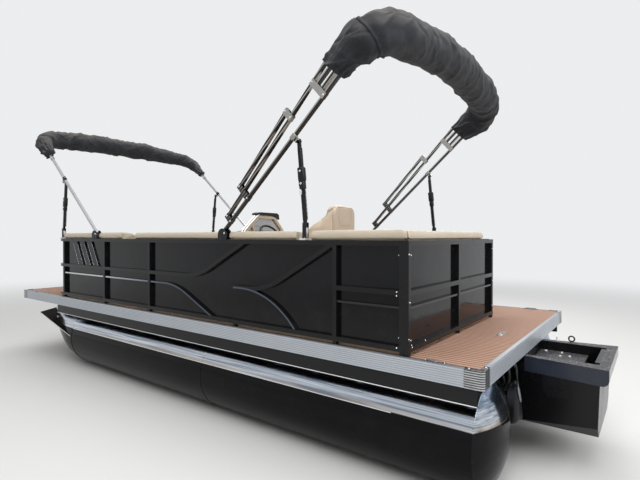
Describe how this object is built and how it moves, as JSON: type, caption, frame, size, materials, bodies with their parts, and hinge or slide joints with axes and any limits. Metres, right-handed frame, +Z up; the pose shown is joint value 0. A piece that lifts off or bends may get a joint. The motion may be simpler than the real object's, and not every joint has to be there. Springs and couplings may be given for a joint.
{
  "type": "pontoon boat",
  "caption": "Two-tube pontoon boat with a railed deck, L-shaped lounges, a helm console and swivel chair, two booted folding bimini tops and a stern motor pod.",
  "frame": {"origin": "ground level under the middle of the boat's overall length and beam", "axes": "+X forward to the bow, +Y to port, +Z up"},
  "size_m": [6.6, 2.6276, 3.1113],
  "materials": {
    "polished_aluminium": "polished",
    "mill_aluminium": "satin",
    "satin_aluminium": "satin",
    "chrome_casting": "polished",
    "bright_tube": "brushed",
    "black_paint": "gloss",
    "black_frame": "satin",
    "gloss_black_panel": "gloss",
    "nonskid_black": "rough",
    "black_skirt": "matte",
    "black_plastic": "satin",
    "marine_plywood": "matte",
    "brown_planking": "matte",
    "beige_moulding": "satin",
    "cream_vinyl": "satin",
    "tinted_screen": "gloss",
    "charcoal_canvas": "matte"
  },
  "bodies": {
    "hull": {"port_tube": "polished_aluminium", "starboard_tube": "polished_aluminium", "tube_risers": "mill_aluminium", "tube_strakes": "mill_aluminium", "spray_guards": "black_paint", "cross_members": "mill_aluminium", "deck_board": "marine_plywood", "deck_covering": "brown_planking", "trim_sides": "satin_aluminium", "trim_ends": "satin_aluminium", "trim_corners": "chrome_casting", "skirts": "black_skirt", "skirt_ledges": "satin_aluminium", "motor_pod": "black_paint", "pod_rim": "nonskid_black", "motor_board": "black_plastic", "fence_port_frame": "black_frame", "fence_port_panels": "gloss_black_panel", "fence_starboard_frame": "black_frame", "fence_starboard_panels": "gloss_black_panel", "fence_slats": "black_frame", "fence_bow_frames": "black_frame", "fence_bow_panels": "gloss_black_panel", "fence_stern_frame": "black_frame", "fence_stern_panels": "gloss_black_panel", "fence_accents": "satin_aluminium", "fence_feet": "black_plastic", "bow_gate_hinges": "chrome_casting", "lounge_bases": "beige_moulding", "seat_cushion_port": "cream_vinyl", "seat_cushion_port_bow": "cream_vinyl", "seat_cushion_stern": "cream_vinyl", "seat_cushion_starboard_bow": "cream_vinyl", "back_cushion_port": "cream_vinyl", "back_cushion_port_bow": "cream_vinyl", "back_cushion_stern": "cream_vinyl", "back_cushion_starboard_bow": "cream_vinyl", "helm_console": "beige_moulding", "helm_windscreen": "tinted_screen", "steering_shaft": "black_plastic", "chair_pedestal": "satin_aluminium", "bimini_forks": "black_plastic", "brace_sockets": "black_plastic", "socket_cheeks": "black_plastic"},
    "bow_gate": {"bow_gate_frame": "black_frame", "bow_gate_panels": "gloss_black_panel"},
    "steering_wheel": {"steering_wheel": "black_plastic"},
    "captain_chair": {"chair_shell": "black_plastic", "chair_cushion": "cream_vinyl"},
    "rear_bimini": {"rear_bimini_arms_port": "black_frame", "rear_bimini_arms_starboard": "black_frame", "rear_bimini_boot": "charcoal_canvas"},
    "rear_brace_port": {"rear_brace_port": "black_frame"},
    "rear_brace_starboard": {"rear_brace_starboard": "black_frame"},
    "front_bimini": {"front_bimini_arms_port": "bright_tube", "front_bimini_arms_starboard": "bright_tube", "front_bimini_boot": "charcoal_canvas"},
    "front_brace_port": {"front_brace_port": "black_frame"},
    "front_brace_starboard": {"front_brace_starboard": "black_frame"}
  },
  "joints": [
    {"name": "rear_bimini_fold", "type": "hinge", "parent": "hull", "child": "rear_bimini", "pos_m": [-0.7, 0, 1.605], "axis": [0, 1, 0], "range_deg": [0, 48]},
    {"name": "front_bimini_fold", "type": "hinge", "parent": "hull", "child": "front_bimini", "pos_m": [1.4, 0, 1.605], "axis": [0, -1, 0], "range_deg": [0, 50]},
    {"name": "rear_brace_port_swing", "type": "hinge", "parent": "rear_bimini", "child": "rear_brace_port", "pos_m": [-1.46991, 1.149, 2.2444], "axis": [0, -1, 0], "range_deg": [0, 45]},
    {"name": "rear_brace_starboard_swing", "type": "hinge", "parent": "rear_bimini", "child": "rear_brace_starboard", "pos_m": [-1.46991, -1.149, 2.2444], "axis": [0, -1, 0], "range_deg": [0, 45]},
    {"name": "front_brace_port_swing", "type": "hinge", "parent": "front_bimini", "child": "front_brace_port", "pos_m": [2.19176, 1.149, 2.21715], "axis": [0, 1, 0], "range_deg": [0, 45]},
    {"name": "front_brace_starboard_swing", "type": "hinge", "parent": "front_bimini", "child": "front_brace_starboard", "pos_m": [2.19176, -1.149, 2.21715], "axis": [0, 1, 0], "range_deg": [0, 45]},
    {"name": "bow_gate_swing", "type": "hinge", "parent": "hull", "child": "bow_gate", "pos_m": [2.41, 0.394, 1.2], "axis": [0, 0, -1], "range_deg": [0, 90]},
    {"name": "helm_wheel_turn", "type": "hinge", "parent": "hull", "child": "steering_wheel", "pos_m": [0.54, -0.7015, 1.555], "axis": [-0.8192, 0, 0.5736], "range_deg": [-630, 630]},
    {"name": "captain_chair_swivel", "type": "hinge", "parent": "hull", "child": "captain_chair", "pos_m": [-0.44, -0.61, 1.2], "axis": [0, 0, 1], "continuous": true}
  ]
}
